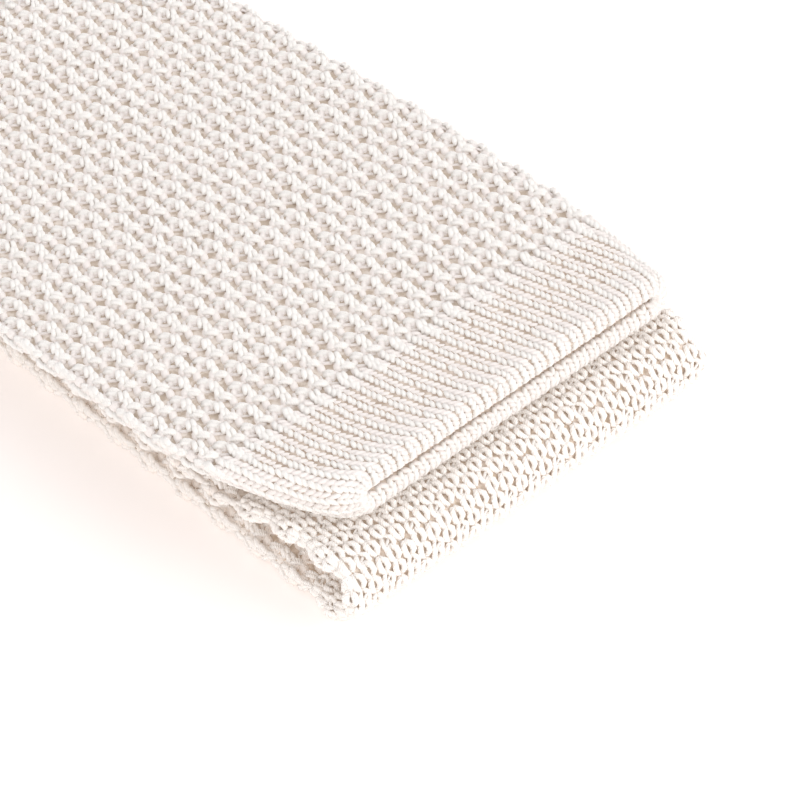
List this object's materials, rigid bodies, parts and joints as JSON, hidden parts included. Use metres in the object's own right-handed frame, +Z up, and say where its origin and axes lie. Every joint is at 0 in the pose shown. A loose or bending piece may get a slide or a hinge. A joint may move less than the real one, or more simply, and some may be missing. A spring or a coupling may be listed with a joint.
{
  "type": "knit tie",
  "caption": "Flat knitted necktie with square hemmed ends, lying folded with the wide end on top.",
  "frame": {"origin": "middle of the folded tie's footprint, on the surface that it lies on", "axes": "+Z up, +Y back along the tie from the front fold and the wide end, +X across the tie"},
  "size_m": [0.0618, 0.497, 0.016],
  "materials": {
    "knit": "ivory open crunch-knit yarn",
    "rib": "ivory fine rib-knit hem"
  },
  "bodies": {
    "root": {"knit_tube": "knit", "wide_end_hem": "rib", "tail_end_hem": "rib"}
  },
  "joints": []
}
